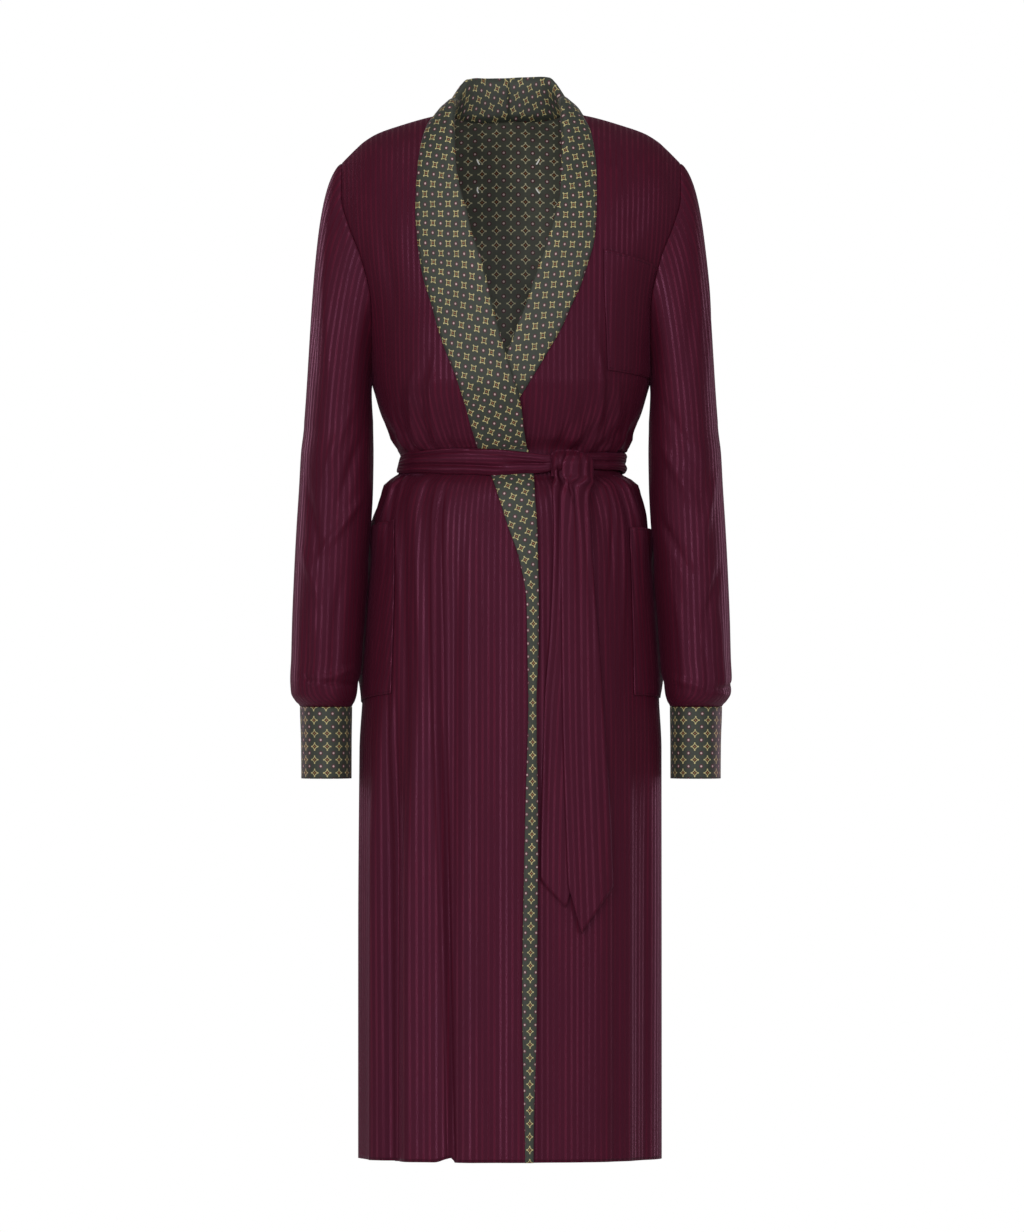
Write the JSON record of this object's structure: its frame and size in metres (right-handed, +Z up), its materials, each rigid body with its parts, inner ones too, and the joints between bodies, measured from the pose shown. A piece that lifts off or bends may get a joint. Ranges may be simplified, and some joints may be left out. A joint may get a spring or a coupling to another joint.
{
  "type": "robe coat",
  "caption": "Long wrap robe coat as worn: striped satin body and sleeves, printed shawl collar running to the hem, printed cuffs, patch pockets and a knotted tie belt",
  "frame": {"origin": "the mount wearer_shoulders: midway between the wearer's shoulders, at the height where the collar meets the shoulder seams", "axes": "+Z up along the wearer's spine, front towards -Y, the wearer's right towards -X"},
  "size_m": [0.485, 0.2654, 1.1868],
  "materials": {
    "striped_cloth": "burgundy satin with a tone on tone stripe",
    "printed_cloth": "dark green satin with a small diamond and dot print"
  },
  "bodies": {
    "root": {"back": "striped_cloth", "front_right": "striped_cloth", "front_left": "striped_cloth", "sleeve_right": "striped_cloth", "sleeve_left": "striped_cloth", "pocket_chest": "striped_cloth", "pocket_hip_right": "striped_cloth", "pocket_hip_left": "striped_cloth", "belt_wrap": "striped_cloth", "belt_knot": "striped_cloth", "belt_tail_right": "striped_cloth", "belt_tail_left": "striped_cloth", "collar_right": "printed_cloth", "collar_left": "printed_cloth", "cuff_right": "printed_cloth", "cuff_left": "printed_cloth", "back_lining": "printed_cloth"}
  },
  "joints": []
}
